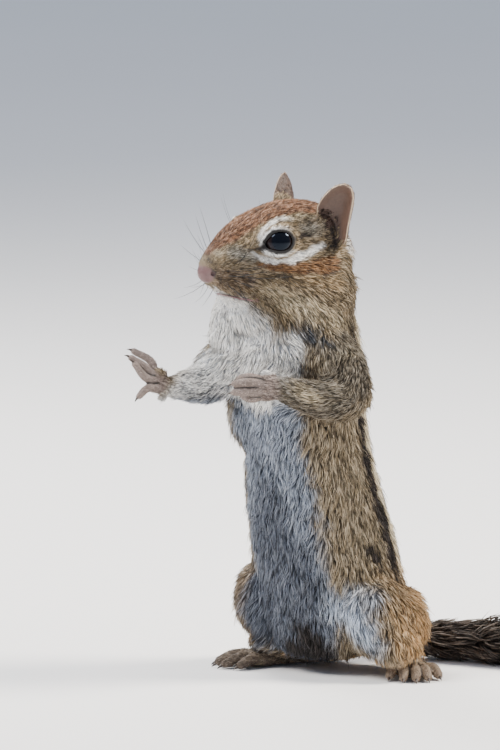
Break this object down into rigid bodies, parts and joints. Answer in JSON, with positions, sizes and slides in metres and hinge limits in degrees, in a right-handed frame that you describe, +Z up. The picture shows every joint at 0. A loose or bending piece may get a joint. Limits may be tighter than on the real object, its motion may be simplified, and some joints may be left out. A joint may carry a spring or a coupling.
{
  "type": "eastern chipmunk model",
  "caption": "Life-size still model of an eastern chipmunk standing upright on its hind feet, forepaws raised, tail lying on the floor.",
  "frame": {"origin": "on the floor, under the middle of the whole animal's extent", "axes": "+Z up; the chest faces -Y; the animal's left is +X"},
  "size_m": [0.1304, 0.1142, 0.1343],
  "materials": {
    "fur": "short dense fur",
    "tail_fur": "bushy grizzled fur",
    "ear_skin": "thin skin with fine down",
    "paw": "skin with very short fur",
    "nose": "bare moist skin",
    "eye": "wet gloss",
    "claw": "smooth horn",
    "whisker": "stiff hair"
  },
  "bodies": {
    "root": {"head": "fur", "neck": "fur", "torso": "fur", "ear_left": "ear_skin", "ear_right": "ear_skin", "eye_left": "eye", "eye_right": "eye", "foreleg_left": "fur", "foreleg_right": "fur", "forepaw_left": "paw", "forepaw_right": "paw", "hindleg_left": "fur", "hindleg_right": "fur", "hindfoot_left": "paw", "hindfoot_right": "paw", "tail_base": "fur", "tail": "tail_fur"}
  },
  "joints": []
}
